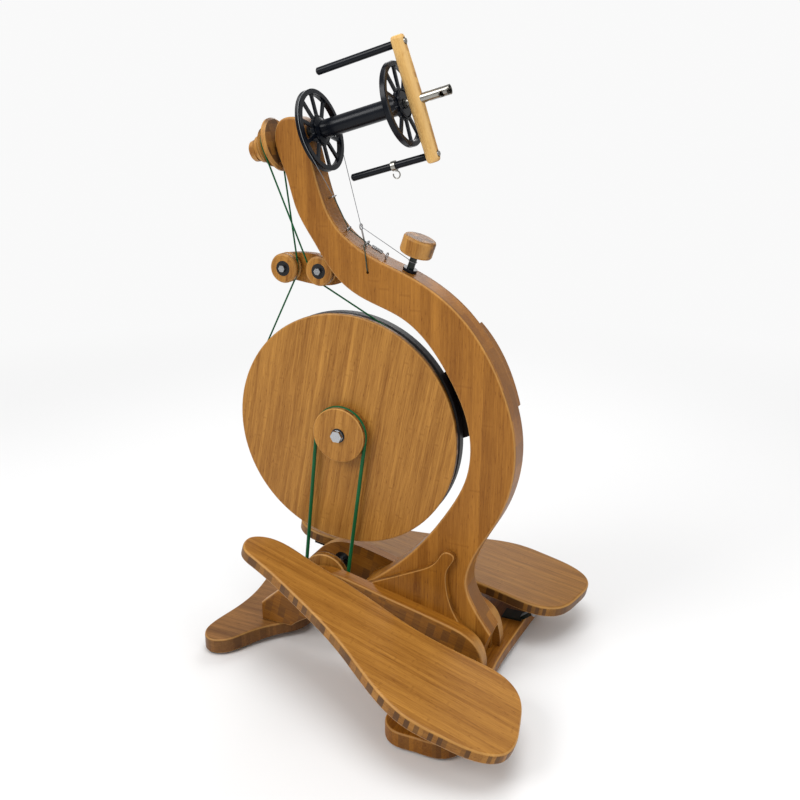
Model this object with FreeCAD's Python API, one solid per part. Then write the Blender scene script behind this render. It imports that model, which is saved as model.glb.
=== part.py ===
import FreeCAD, Part
import math
import os

# Compact upright spinning wheel. Millimetres, +Z up, floor at z = 0.
# While the pieces are made, x = 0 is the wheel axle, y = 0 the middle plane of
# the C frame, and the spinner sits on the +X side. The last lines slide
# everything so that the origin is under the middle of the whole wheel.

V = FreeCAD.Vector
os.makedirs("parts", exist_ok=True)

# ---- clearances -------------------------------------------------------------
runFit = 0.05        # radial play of a shaft in its bearing or bush
sideGap = 0.5        # between pieces that turn past each other
beltGap = 0.35       # between a belt and the groove it lies in

# ---- driving sizes ----------------------------------------------------------
frameHalf = 21.0     # half thickness of the C frame
cheekThick = 10.0
railThick = 20.0
railIn = frameHalf + cheekThick
railOut = railIn + railThick
padThick = 3.0
footTop = 28.0
woodRound = 3.5      # rounding along the edges of the boards

axleZ = 359.0
wheelR = 178.0
wheelHalf = 14.0     # from the band groove to the wheel's front
wheelBack = 19.0     # and to its back
faceThick = 7.0
bandR = 1.25         # radius of the thin drive band
beltR = 2.6          # radius of the treadle belt

hubPulleyR = 41.5
hubPulleyThick = 19.0
beltY = -wheelHalf - hubPulleyThick / 2

crankX = -30.0
crankZ = 118.0
crankThrow = 20.0
crankPulleyR = 38.0
crankShaftR = 6.0

treadleThick = 18.0
pivotX = 271.0
pivotZ = 48.0
pivotDrop = 26.0     # from the treadle's top face down to its hinge pin
treadleMean = 13.6   # slope of a treadle halfway through its stroke, degrees
treadleSwing = 3.7   # either side of that
footmanLength = 56.0

flyerTilt = 15.7
crossbarX = 106.4
crossbarZ = 826.0
flyerRoll = 9.0      # how far the crossbar leans from upright
shaftR = 5.0
armOffset = 72.2
crossbarHalf = 81.6
bobbinBack = -150.0  # along the flyer axis, from the crossbar
bobbinFront = -16.0
flangeR = 55.4
coreR = 12.5
whorlS = -228.0      # place of the whorl's working groove
whorlGroove = 24.0

idlerZ = 595.0
idlerLeftX = -95.0
idlerRightX = -37.0
idlerR = 21.5
bearingR = 11.0      # outside radius of the small ball bearings
bearingThick = 7.0
boltR = 4.0


# ---- geometry helpers -------------------------------------------------------
def curve(points):
    """A straight edge through two points, or a smooth one through more."""
    if len(points) == 2:
        return Part.LineSegment(points[0], points[1]).toShape()
    line = Part.BSplineCurve()
    line.interpolate(points)
    return line.toShape()


def board(runs, low, high):
    """Extrude an (x, z) outline: runs of points, each starting where the last ended."""
    edges = []
    start = runs[-1][-1]
    for run in runs:
        edges.append(curve([V(x, low, z) for x, z in [start] + list(run)]))
        start = run[-1]
    return Part.Face(Part.Wire(edges)).extrude(V(0, high - low, 0))


def plank(points, heading, low, high):
    """Extrude a closed smooth (x, y) outline that starts off along heading."""
    loop = [V(x, y, low) for x, y in points + points[:1]]
    line = Part.BSplineCurve()
    line.interpolate(loop, InitialTangent=heading, FinalTangent=heading, Scale=False)
    return Part.Face(Part.Wire(line.toShape())).extrude(V(0, 0, high - low))


def rounded(shape, radius, keep):
    """Round the edges that keep() picks."""
    edges = [edge for edge in shape.Edges if keep(edge)]
    return shape.makeFillet(radius, edges)


def onFace(axis, *levels):
    """Picks edges that lie in one of the planes axis = level."""
    def keep(edge):
        box = edge.BoundBox
        low = getattr(box, axis + "Min")
        high = getattr(box, axis + "Max")
        return any(abs(low - level) < 0.01 and abs(high - level) < 0.01 for level in levels)
    return keep


def longEdges(axis, *levels):
    """The same, for the long sweep of an outline only."""
    near = onFace(axis, *levels)
    return lambda edge: near(edge) and edge.Length > 200


def rod(start, end, radius):
    return Part.makeCylinder(radius, (end - start).Length, start, end - start)


def tube(start, end, outer, inner):
    return rod(start, end, outer).cut(rod(start, end, inner))


def turned(profile, start, along):
    """Turn (distance, radius) points round the axis from start in direction along."""
    first = (profile[0][0], 0.0)
    last = (profile[-1][0], 0.0)
    points = [V(r, 0, s) for s, r in [first] + list(profile) + [last]]
    kept = [p for i, p in enumerate(points) if i == 0 or (p - points[i - 1]).Length > 1e-6]
    solid = Part.Face(Part.makePolygon(kept + [kept[0]])).revolve(V(0, 0, 0), V(0, 0, 1), 360)
    solid.Placement = FreeCAD.Placement(start, FreeCAD.Rotation(V(0, 0, 1), along))
    return solid


def bend(centre, normal, start, angle, radius):
    """A tube of this radius turned about centre by angle degrees from start."""
    if angle < 0:
        return bend(centre, normal * -1, start, -angle, radius)
    arm = start - centre
    disc = Part.Face(Part.Wire(Part.Circle(start, normal.cross(arm), radius).toShape()))
    return disc.revolve(centre, normal, angle)


def joined(pieces):
    return pieces[0].fuse(pieces[1:]).removeSplitter()


def mirrored(shape):
    return shape.mirror(V(0, 0, 0), V(0, 1, 0))


def hexHead(start, along, across, height):
    corner = across / math.sqrt(3.0)
    points = [V(corner * math.cos(i * math.pi / 3), corner * math.sin(i * math.pi / 3), 0)
              for i in range(7)]
    head = Part.Face(Part.makePolygon(points)).extrude(V(0, 0, height))
    head.Placement = FreeCAD.Placement(start, FreeCAD.Rotation(V(0, 0, 1), along))
    return head


def bearing(start, along, bore):
    """A shielded ball bearing, modelled whole."""
    end = start + along * bearingThick
    race = tube(start, end, bearingR, bore)
    groove = tube(start, start + along * 0.8, bearingR - 2.2, bore + 2.0)
    return race.cut(groove)


def tangentPoints(c1, r1, c2, r2):
    """Where a line touches two circles; a negative radius takes the other side.

    The line keeps both centres on its left when the radii are positive."""
    gap = (c2[0] - c1[0], c2[1] - c1[1])
    length = math.hypot(gap[0], gap[1])
    lean = math.asin((r2 - r1) / length)
    heading = math.atan2(gap[1], gap[0]) - lean
    side = (math.sin(heading), -math.cos(heading))
    first = (c1[0] + r1 * side[0], c1[1] + r1 * side[1])
    second = (c2[0] + r2 * side[0], c2[1] + r2 * side[1])
    return first, second


def turnAngle(centre, start, end, sense):
    """Degrees from start round to end about centre, turning left when sense is 1."""
    a = math.atan2(start[1] - centre[1], start[0] - centre[0])
    b = math.atan2(end[1] - centre[1], end[0] - centre[0])
    return sense * math.degrees((sense * (b - a)) % (2 * math.pi))


def flatArc(centre, start, end, sense, y, radius):
    """Tube round a pulley that turns about Y, in the plane y."""
    angle = turnAngle(centre, start, end, sense)
    return bend(V(centre[0], y, centre[1]), V(0, -1, 0), V(start[0], y, start[1]), angle, radius)


nodes = {}


# ---- C frame, cheeks, rails and feet ----------------------------------------
flyerAxis = V(math.cos(math.radians(flyerTilt)), 0, math.sin(math.radians(flyerTilt)))
flyerUp = V(-flyerAxis.z, 0, flyerAxis.x)
crossbarCentre = V(crossbarX, 0, crossbarZ)


def onAxis(s, up=0.0, side=0.0):
    """A point along the flyer axis, raised and moved sideways from it."""
    return crossbarCentre + flyerAxis * s + flyerUp * up + V(0, side, 0)


headBack = -205.0
headFront = -160.0
knobFoot = V(99, 0, 604)
knobAxis = V(0.33, 0, 0.944).normalize()
knobScrewR = 5.0
knobBushR = 7.5


def cFrame():
    heel = [(213, 117), (200, 152), (205, 184)]
    outerCurve = [(246, 267), (266, 367), (245, 454), (180, 553), (98, 604)]
    neckFront = [(56, 620), (20, 640), (-8, 666), (-24, 698), (-38, 745), (-53, 792)]
    headTop = [(-60, 802), (-74, 804), (-88, 798), (-95, 781)]
    neckBack = [(-81, 730), (-65, 680), (-38, 636), (-8, 594), (27, 568)]
    innerCurve = [(98, 539), (164, 468), (198, 385), (195, 320), (167, 261), (121, 196), (30, 114)]
    sweep = heel + outerCurve + neckFront + headTop + neckBack + innerCurve
    foot = [(30, 98), (95, footTop), (224, footTop), (230, 52), (240, 78)]
    shape = board([sweep] + [[point] for point in foot], -frameHalf, frameHalf)
    shape = rounded(shape, woodRound, longEdges("Y", -frameHalf, frameHalf))
    shape = shape.cut(rod(onAxis(headBack - 20), onAxis(headFront + 20), shaftR + 1.0))
    shape = shape.cut(rod(onAxis(headBack - 12), onAxis(headBack + bearingThick), bearingR))
    shape = shape.cut(rod(onAxis(headFront - bearingThick), onAxis(headFront + 12), bearingR))
    return shape.cut(rod(knobFoot - knobAxis * 26, knobFoot + knobAxis * 20, knobBushR))


nodes["c_frame"] = cFrame()

cheekTop = [(71, 137), (128, 165), (158, 188), (172, 204), (183, 200), (176, 180),
            (172, 156), (177, 128), (188, 102), (208, 77), (228, 60)]
cheek = board([[(30, 116)], cheekTop, [(228, footTop)], [(95, footTop)], [(30, 98)]],
              -railIn, -frameHalf)
cheek = rounded(cheek, 2.0, longEdges("Y", -railIn))
nodes["near_cheek"] = cheek
nodes["far_cheek"] = mirrored(cheek)


seatR = bearingR + 3     # the crank's bearings in the rails


def rail(top):
    """A rail on the near side, under this upper edge."""
    arch = [(110, 52), (40, 66), (-30, 58), (-82, footTop)]
    runs = [[(-136, 58)], top, [(240, footTop)], [(178, footTop)], arch, [(-136, footTop)]]
    shape = board(runs, -railOut, -railIn)
    shape = rounded(shape, woodRound, onFace("Y", -railOut))
    seat = V(crankX, -railOut, crankZ)
    return shape.cut(rod(seat, seat + V(0, railThick, 0), seatR))


nearTop = [(-120, 72), (-95, 96), (-71, 119), (-46, 135), (-20, 140), (12, 137), (60, 126),
           (130, 110), (184, 97), (210, 88), (228, 74), (237, 56), (240, 40)]
farTop = [(-120, 76), (-95, 104), (-71, 129), (-46, 146), (-20, 151), (12, 147), (60, 135),
          (130, 118), (184, 105), (210, 95), (228, 80), (237, 59), (240, 40)]
nodes["near_rail"] = rail(nearTop)
nodes["far_rail"] = mirrored(rail(farTop))


backOutline = [(-72, 0), (-78, -24), (-104, -52), (-136, -92), (-160, -127), (-183, -132),
               (-202, -112), (-204, -88), (-197, -45), (-193, 0)]
frontOutline = [(249, 0), (253, -90), (258, -168), (256, -200), (238, -214), (200, -216), (166, -213),
                (150, -196), (150, -160), (160, -80), (166, 0)]


def footBoard(outline, archX, archHalf, archRise):
    """A flat foot, the same on both sides, hollowed underneath between its toes."""
    loop = outline + [(x, -y) for x, y in reversed(outline[1:-1])]
    shape = plank(loop, V(0, -1, 0), padThick, footTop)
    shape = rounded(shape, woodRound, onFace("Z", padThick, footTop))
    archR = (archHalf ** 2 + archRise ** 2) / (2 * archRise)
    low = V(archX - 200, 0, padThick + archRise - archR)
    return shape.cut(rod(low, low + V(400, 0, 0), archR))


nodes["back_foot"] = footBoard(backOutline, -140, 95, 8)
nodes["front_foot"] = footBoard(frontOutline, 200, 165, 8)
padR = 16.0


def footPads():
    pads = []
    for x, y in ((-180, 112), (235, 192)):
        for side in (-1, 1):
            pads.append(rod(V(x, side * y, 0), V(x, side * y, padThick), padR))
    return Part.makeCompound(pads)


nodes["foot_pads"] = footPads()


# ---- wheel ------------------------------------------------------------------
axleR = 6.0
across = V(0, 1, 0)
armIn = frameHalf
armThick = 18.0
coreFront = -wheelHalf + faceThick
bandPath = wheelR - 4.0      # radius of the drive band's middle on the wheel


def atAxle(y):
    return V(0, y, axleZ)


def wheelFace():
    profile = [(0, wheelR - 2.0), (0.8, wheelR - 0.6), (2.0, wheelR), (faceThick, wheelR)]
    disc = turned(profile, atAxle(-wheelHalf), across)
    return disc.cut(rod(atAxle(-20), atAxle(20), bearingR + 1))


def wheelCore():
    """The heavy dark core: its edge holds the band's V groove."""
    width = wheelBack - coreFront
    middle = -coreFront
    edge = wheelR - 1.0
    bottom = bandPath - bandR - beltGap
    profile = [(0, edge), (middle - 4, edge), (middle - 0.9, bottom), (middle + 0.9, bottom),
               (middle + 4, edge), (width - 1.5, edge), (width, edge - 1.5)]
    core = turned(profile, atAxle(coreFront), across)
    core = core.cut(rod(atAxle(coreFront), atAxle(wheelBack), axleR + 2))
    return core.cut(rod(atAxle(wheelBack - bearingThick), atAxle(wheelBack), bearingR))


def pulley(start, along, thick, radius, bore, path, cordR):
    """A wooden pulley with one round-bottomed groove half way along."""
    wheel = turned([(0, radius - 1.5), (1.5, radius), (thick - 1.5, radius), (thick, radius - 1.5)],
                   start, along)
    middle = start + along * (thick / 2)
    side = V(0, 0, 1) if abs(along.z) < 0.5 else V(1, 0, 0)
    side = (side - along * side.dot(along)).normalize()
    groove = bend(middle, along, middle + side * path, 360, cordR + beltGap)
    mouth = tube(middle - along * (cordR + beltGap), middle + along * (cordR + beltGap), radius + 1, path)
    return wheel.cut(groove).cut(mouth).cut(rod(start, start + along * thick, bore))


hubStart = -wheelHalf - hubPulleyThick
hubPath = hubPulleyR - beltR - 0.6
nodes["wheel_face"] = wheelFace()
nodes["wheel_core"] = wheelCore()
nodes["hub_pulley"] = pulley(atAxle(hubStart), across, hubPulleyThick, hubPulleyR, axleR + 2,
                             hubPath, beltR).cut(rod(atAxle(hubStart), atAxle(hubStart + bearingThick),
                                                     bearingR))
nodes["wheel_bearings"] = Part.makeCompound([
    bearing(atAxle(hubStart + bearingThick), -across, axleR + runFit),
    bearing(atAxle(wheelBack - bearingThick), across, axleR + runFit)])


def wheelArm():
    hub = Part.makeCylinder(30, armThick, V(0, armIn, axleZ), across)
    upper = [(60, 408), (147, 461), (192, 533)]
    outer = [(225, 490), (247, 440), (253, 420)]
    lower = [(180, 366), (60, 333), (4, 329)]
    arm = board([[(-4, 389)], upper, outer, lower], armIn, armIn + armThick).fuse(hub)
    return arm.cut(rod(atAxle(armIn), atAxle(armIn + armThick), axleR))


nodes["wheel_arm"] = wheelArm()
armBack = armIn + armThick


axleHead = 16.0      # across the flats
headHeight = 5.5
washerThick = 1.2
washerFront = hubStart - 0.3 - washerThick
backWasherThick = 2.0
nutFlats = 19.0
nutHeight = 9.0


def wheelAxle():
    bolt = rod(atAxle(washerFront), atAxle(armBack + backWasherThick + nutHeight + 3), axleR)
    return bolt.fuse(hexHead(atAxle(washerFront), -across, axleHead, headHeight))


nodes["wheel_axle"] = wheelAxle()
frontWasher = tube(atAxle(washerFront), atAxle(washerFront + washerThick), axleR + 3, axleR)
backWasher = tube(atAxle(armBack), atAxle(armBack + backWasherThick), axleR + 8, axleR)
spacer = tube(atAxle(wheelBack + 0.3), atAxle(armIn), axleR + 2.5, axleR)
nut = hexHead(atAxle(armBack + backWasherThick), across, nutFlats, nutHeight)
nut = nut.cut(rod(atAxle(armBack), atAxle(armBack + 20), axleR))
nodes["axle_fasteners"] = Part.makeCompound([frontWasher, backWasher, spacer, nut])


armBoltSpots = [(212, 486), (232, 440), (206, 418)]
armBoltDepth = 22.0      # into the C frame


def armBolts():
    bolts = []
    for x, z in armBoltSpots:
        head = rod(V(x, armBack, z), V(x, armBack + 3.5, z), 6.5)
        shank = rod(V(x, armIn - armBoltDepth, z), V(x, armBack, z), 3)
        bolts.append(head.fuse(shank))
    return bolts


bolts = armBolts()
for bolt in bolts:
    nodes["c_frame"] = nodes["c_frame"].cut(bolt)
    nodes["wheel_arm"] = nodes["wheel_arm"].cut(bolt)
nodes["arm_bolts"] = Part.makeCompound(bolts)


# ---- crank ------------------------------------------------------------------
discIn = railOut + 1.0
discThick = 8.0
discOut = discIn + discThick
linkIn = discOut + sideGap
linkThick = 8.0
linkOut = linkIn + linkThick
lugIn = linkOut + sideGap
lugThick = 4.0
pinR = 4.0


def atCrank(y, up=0.0):
    return V(crankX, y, crankZ + up)


crankPulleyThick = 12.0
crankPulleyStart = beltY - crankPulleyThick / 2
crankPath = crankPulleyR - beltR - 0.6
crankDiscR = 29.0
nodes["crank_pulley"] = pulley(atCrank(crankPulleyStart), across, crankPulleyThick, crankPulleyR,
                               crankShaftR, crankPath, beltR)
nodes["crank_shaft"] = rod(atCrank(-discOut), atCrank(discOut), crankShaftR)
nodes["crank_bearings"] = Part.makeCompound(
    [tube(atCrank(side * railIn), atCrank(side * railOut), seatR, crankShaftR + runFit)
     for side in (-1, 1)])


def crankDisc(side):
    """A round crank, with the boss of its pin at the top on the near side, below on the far."""
    disc = tube(atCrank(side * discIn), atCrank(side * discOut), crankDiscR, crankShaftR)
    pin = -side * crankThrow
    return disc.cut(rod(atCrank(side * (discOut - 5), pin), atCrank(side * discOut, pin), pinR))


nodes["near_crank"] = crankDisc(-1)
nodes["far_crank"] = crankDisc(1)


# ---- treadles ---------------------------------------------------------------
def tiltedTo(shape, slope):
    """Turn a level treadle piece down to its slope about the hinge pin."""
    turnedShape = shape.copy()
    turnedShape.rotate(V(pivotX, 0, pivotZ), V(0, 1, 0), slope)
    return turnedShape


topZ = pivotZ + pivotDrop
underZ = topZ - treadleThick


def treadleBoard():
    inner = [(-408, 76), (-388, 67), (-330, 70), (-240, 80), (-129, 97), (-40, 95), (10, 97)]
    heel = [(34, 112), (56, 170), (61, 206), (54, 232)]
    outer = [(28, 251), (-20, 260), (-72, 262), (-122, 246), (-200, 202), (-300, 160)]
    toe = [(-421, 98)]
    outer += [(-385, 133), (-412, 122)]
    loop = [(pivotX + x, -y) for x, y in toe + inner + heel + outer]
    shape = plank(loop, V(0, 1, 0), underZ, topZ)
    return rounded(shape, 4.0, onFace("Z", underZ, topZ))


hingeYs = (125.0, 195.0)
leafThick = 3.0
knuckleR = 4.6
hingePinR = 2.5


def treadleHinges():
    """Leaves under the treadle, each with two knuckles."""
    leaves = []
    for y in hingeYs:
        plate = Part.makeBox(34, 30, leafThick, V(pivotX - 36, -y - 15, underZ - leafThick))
        knuckles = [rod(V(pivotX, -y + a, pivotZ), V(pivotX, -y + b, pivotZ), knuckleR)
                    for a, b in ((-15, -6), (6, 15))]
        webs = [Part.makeBox(8, 9, 4, V(pivotX - 8, -y + a, pivotZ + 1.5)) for a in (-15, 6)]
        leaf = joined([plate] + knuckles + webs)
        leaves.append(leaf.cut(rod(V(pivotX, -y - 20, pivotZ), V(pivotX, -y + 20, pivotZ),
                                   hingePinR + runFit)))
    return Part.makeCompound(leaves)


def baseHinges():
    """Brackets on the front foot, each holding the middle knuckle."""
    brackets = []
    half = 6 - sideGap
    for y in hingeYs:
        plate = Part.makeBox(32, 26, leafThick, V(218, -y - 13, footTop))
        web = board([[(246, footTop + leafThick)], [(246, footTop)], [(252, footTop)],
                     [(pivotX + 3, pivotZ - 2)], [(pivotX - 3, pivotZ + 2)]], -y - half, -y + half)
        knuckle = rod(V(pivotX, -y - half, pivotZ), V(pivotX, -y + half, pivotZ), knuckleR)
        bracket = joined([plate, web, knuckle])
        brackets.append(bracket.cut(rod(V(pivotX, -y - half, pivotZ), V(pivotX, -y + half, pivotZ),
                                        hingePinR)))
    return Part.makeCompound(brackets)


def hingePins():
    return Part.makeCompound([rod(V(pivotX, -y - 16, pivotZ), V(pivotX, -y + 16, pivotZ), hingePinR)
                              for y in hingeYs])


linkTopZ = crankZ + crankThrow
jointZ = {1: linkTopZ - footmanLength, -1: crankZ - crankThrow - footmanLength}


def treadleBracket(near, slope):
    """A strap under the toe with a lug hanging down to the footman's lower pin."""
    y0 = -lugIn - lugThick
    strap = Part.makeBox(92, 22, 4, V(crankX - 78, y0 - 18, underZ - 4))
    level = V(crankX, 0, jointZ[near])
    level = FreeCAD.Rotation(V(0, 1, 0), -slope).multVec(level - V(pivotX, 0, pivotZ))
    level = level + V(pivotX, 0, pivotZ)
    boss = rod(V(level.x, y0, level.z), V(level.x, y0 + lugThick, level.z), 9)
    lug = board([[(level.x + 12, underZ - 4)], [(level.x + 12, underZ)], [(level.x - 26, underZ)],
                 [(level.x - 26, underZ - 4)], [(level.x - 9, level.z)], [(level.x + 9, level.z)]],
                y0, y0 + lugThick)
    bracket = joined([strap, boss, lug])
    return bracket.cut(rod(V(level.x, y0, level.z), V(level.x, y0 + lugThick, level.z), pinR + runFit))


def footman(near):
    top = crankZ + near * crankThrow
    low = jointZ[near]
    y0 = -linkOut
    bar = Part.makeBox(12, linkThick, top - low, V(crankX - 6, y0, low))
    ends = [rod(V(crankX, y0, z), V(crankX, y0 + linkThick, z), 9) for z in (top, low)]
    link = joined([bar] + ends)
    for z in (top, low):
        link = link.cut(rod(V(crankX, y0, z), V(crankX, y0 + linkThick, z), pinR))
    return link


def crankPin(near):
    z = crankZ + near * crankThrow
    return rod(V(crankX, -linkOut, z), V(crankX, -linkIn + 0.1, z), pinR)


def lugPin(near):
    z = jointZ[near]
    pin = rod(V(crankX, -lugIn - lugThick - 1, z), V(crankX, -linkIn, z), pinR)
    head = -lugIn - lugThick - sideGap
    return pin.fuse(rod(V(crankX, head - 2.5, z), V(crankX, head, z), 6.5))


def treadleSide(name, near, place):
    """Everything that belongs to one treadle; the far side is the near side mirrored."""
    slope = treadleMean + near * treadleSwing
    nodes[name + "_treadle"] = place(tiltedTo(treadleBoard(), slope))
    nodes[name + "_treadle_hinges"] = place(tiltedTo(treadleHinges(), slope))
    nodes[name + "_treadle_bracket"] = place(tiltedTo(treadleBracket(near, slope), slope))
    nodes[name + "_footman"] = place(footman(near))
    nodes[name + "_footman_pins"] = place(Part.makeCompound([crankPin(near), lugPin(near)]))


def bothSides(shape):
    return Part.makeCompound(shape.Solids + mirrored(shape).Solids)


treadleSide("near", 1, lambda shape: shape)
treadleSide("far", -1, mirrored)
nodes["base_hinges"] = bothSides(baseHinges())
nodes["hinge_pins"] = bothSides(hingePins())


# ---- idlers -----------------------------------------------------------------
idlerFront = -12.0
idlerThick = 20.0
idlerPath = idlerR - bandR - 1.5
bracketFront = idlerFront + idlerThick + 1.0
bracketBack = frameHalf


def idler(x):
    start = V(x, idlerFront, idlerZ)
    wheel = turned([(0, idlerR - 3), (1, idlerR - 1), (3, idlerR), (17, idlerR), (19, idlerR - 1),
                    (20, idlerR - 3)], start, across)
    middle = V(x, 0, idlerZ)
    bottom = idlerPath - bandR - beltGap
    groove = turned([(-4.4, idlerR + 1), (-0.9, bottom), (0.9, bottom), (4.4, idlerR + 1)],
                    middle, across)
    collar = turned([(-4.4, idlerR + 2), (4.4, idlerR + 2)], middle, across)
    return wheel.cut(collar.cut(groove))


def idlerBolt(x):
    shank = rod(V(x, idlerFront - 1, idlerZ), V(x, bracketBack, idlerZ), boltR)
    return shank.fuse(hexHead(V(x, idlerFront - 1, idlerZ), -across, 9, 3.5))


def idlerBracket():
    """A block behind the idlers, let into the back edge of the neck."""
    block = board([[(-60, 616), (0, 604)], [(6, 590)], [(-20, 574), (-60, 572), (-112, 578)],
                   [(-119, 595), (-113, 612)]], bracketFront, bracketBack)
    for x in (idlerLeftX, idlerRightX):
        boss = rod(V(x, idlerFront + idlerThick + 0.2, idlerZ), V(x, bracketFront, idlerZ), 6)
        block = block.fuse(boss).cut(rod(V(x, 0, idlerZ), V(x, 40, idlerZ), boltR))
    return block.cut(nodes["c_frame"])


idlerXs = {"left": idlerLeftX, "right": idlerRightX}
for name, x in idlerXs.items():
    face = V(x, idlerFront, idlerZ)
    back = V(x, idlerFront + idlerThick, idlerZ)
    bore = rod(face, back, bearingR - 2)
    seats = rod(face, face + across * bearingThick, bearingR)
    seats = seats.fuse(rod(back - across * bearingThick, back, bearingR))
    nodes[name + "_idler"] = idler(x).cut(bore).cut(seats)
    nodes[name + "_idler_bearings"] = Part.makeCompound([
        bearing(face + across * bearingThick, -across, boltR + runFit),
        bearing(back - across * bearingThick, across, boltR + runFit)])
nodes["idler_bracket"] = idlerBracket()
nodes["idler_bolts"] = Part.makeCompound([idlerBolt(x) for x in idlerXs.values()])


# ---- flyer ------------------------------------------------------------------
whorlEnd = -258.0
whorlStart = headBack - 9.0
tubeEnd = 49.0
tubeStart = -15.3


def whorl():
    """The stepped wooden pulley behind the head, with three grooves."""
    flange = 37.0
    s = [(whorlEnd, 13), (whorlEnd + 1.5, 14.5), (-250, 15.5), (-248.4, 13.6), (-246.8, 13.6),
         (-245, 18.5), (-240.5, 19.5), (-238.4, 17.4), (-236.8, 17.4), (-234.5, 25),
         (-232.2, 27.5), (whorlS - 0.9, whorlGroove - bandR - beltGap),
         (whorlS + 0.9, whorlGroove - bandR - beltGap), (-223.8, 27.5), (-221, 34), (-219.5, flange),
         (-217, flange), (whorlStart, 34), (whorlStart, 8), (headBack - sideGap, 8)]
    body = turned([(a - whorlEnd, r) for a, r in s], onAxis(whorlEnd), flyerAxis)
    return body.cut(rod(onAxis(whorlEnd + 4), onAxis(headBack), shaftR))


nodes["whorl"] = whorl()
nodes["flyer_shaft"] = rod(onAxis(whorlEnd + 4), onAxis(tubeStart), shaftR)
nodes["head_bearings"] = Part.makeCompound([
    bearing(onAxis(headBack + bearingThick), -flyerAxis, shaftR + runFit),
    bearing(onAxis(headFront - bearingThick), flyerAxis, shaftR + runFit)])

orificeR = 6.5
orificeBore = 5.0
armR = 5.0
armEnd = -123.0
rollCos = math.cos(math.radians(flyerRoll))
rollSin = math.sin(math.radians(flyerRoll))
barAxis = flyerUp * rollCos - across * rollSin


def alongBar(s, out):
    return crossbarCentre + flyerAxis * s + barAxis * out


def crossbar():
    """A slightly barrelled dowel with rounded ends."""
    half = crossbarHalf
    profile = [(0, 6.5), (1.2, 8.4), (4, 9.4), (half, 10.4), (2 * half - 4, 9.4), (2 * half - 1.2, 8.4),
               (2 * half, 6.5)]
    bar = turned(profile, alongBar(0, -half), barAxis)
    bar = bar.cut(rod(onAxis(-20), onAxis(20), orificeR))
    for side in (-1, 1):
        bar = bar.cut(rod(alongBar(-12, side * armOffset), alongBar(0, side * armOffset), armR))
        bar = bar.cut(rod(alongBar(-12, side * armOffset), alongBar(14, side * armOffset), 2))
        bar = bar.cut(rod(alongBar(8.5, side * armOffset), alongBar(14, side * armOffset), 5))
    return bar


def orificeTube():
    """The steel mouth: the yarn goes in at the end and out through the side."""
    pipe = tube(onAxis(tubeStart), onAxis(tubeEnd), orificeR, orificeBore)
    plug = rod(onAxis(tubeStart), onAxis(0), orificeBore)
    eye = rod(onAxis(tubeEnd - 12, 0, -10), onAxis(tubeEnd - 12, -8, -2), 3.5)
    notch = rod(onAxis(tubeEnd - 1, 4, -12), onAxis(tubeEnd - 1, -9, 0), 3)
    side = rod(onAxis(16, 0, 0), onAxis(16, -9, 0), 3.6)
    return pipe.fuse(plug).cut(side).cut(notch).cut(eye).removeSplitter()


def flyerArm(side):
    arm = turned([(0, 3.5), (1.5, armR), (-armEnd, armR)], alongBar(armEnd, side * armOffset), flyerAxis)
    return arm.cut(rod(alongBar(-14, side * armOffset), alongBar(0, side * armOffset), 2))


nodes["crossbar"] = crossbar()
nodes["orifice_tube"] = orificeTube()
nodes["flyer_arms"] = Part.makeCompound([flyerArm(1), flyerArm(-1)])
nodes["arm_screws"] = Part.makeCompound(
    [rod(alongBar(-12, side * armOffset), alongBar(9, side * armOffset), 2).fuse(
        turned([(0, 4.2), (1.4, 4.2), (2.4, 2.6)], alongBar(8.5, side * armOffset), flyerAxis))
     for side in (-1, 1)])

hookS = -57.0


def flyerHook():
    """A ring that slides along the lower arm, with a wire loop for the yarn."""
    at = alongBar(hookS, -armOffset)
    ring = tube(at - flyerAxis * 3, at + flyerAxis * 3, armR + 1.8, armR + runFit)
    out = alongBar(hookS, -armOffset - 12)
    loop = bend(out, across, out + barAxis * 5, 300, 0.9)
    stem = rod(alongBar(hookS, -armOffset - 6.2), alongBar(hookS, -armOffset - 7.6), 0.9)
    return joined([ring, loop, stem])


nodes["flyer_hook"] = flyerHook()


# ---- bobbin -----------------------------------------------------------------
flangeThick = 8.0
bobbinBore = shaftR + runFit


grooveDepth = 2.2
lineR = 0.5
linePath = flangeR - grooveDepth + beltGap + lineR


rimWidth = 6.5
windowCount = 10
spokeWidth = 5.0
windowRound = 2.2
webHalf = 1.7        # half thickness of the flange between its rim and its hub


def flangeWindows(s, low, high):
    """The openings between the spokes, with rounded corners."""
    reach = flangeThick
    ring = tube(onAxis(s - reach), onAxis(s + reach), high, low)
    for i in range(windowCount):
        spoke = Part.makeBox(high + 5, spokeWidth, 4 * reach, V(0, -spokeWidth / 2, -2 * reach))
        spoke.rotate(V(0, 0, 0), V(0, 0, 1), 360.0 * i / windowCount)
        spoke.Placement = FreeCAD.Placement(onAxis(s), FreeCAD.Rotation(V(0, 0, 1), flyerAxis)
                                            ).multiply(spoke.Placement)
        ring = ring.cut(spoke)

    def corner(edge):
        along = edge.Vertexes[-1].Point - edge.Vertexes[0].Point
        return along.Length > 1 and abs(along.normalize().dot(flyerAxis)) > 0.999
    return [rounded(window, windowRound, corner) for window in ring.Solids]


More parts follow.
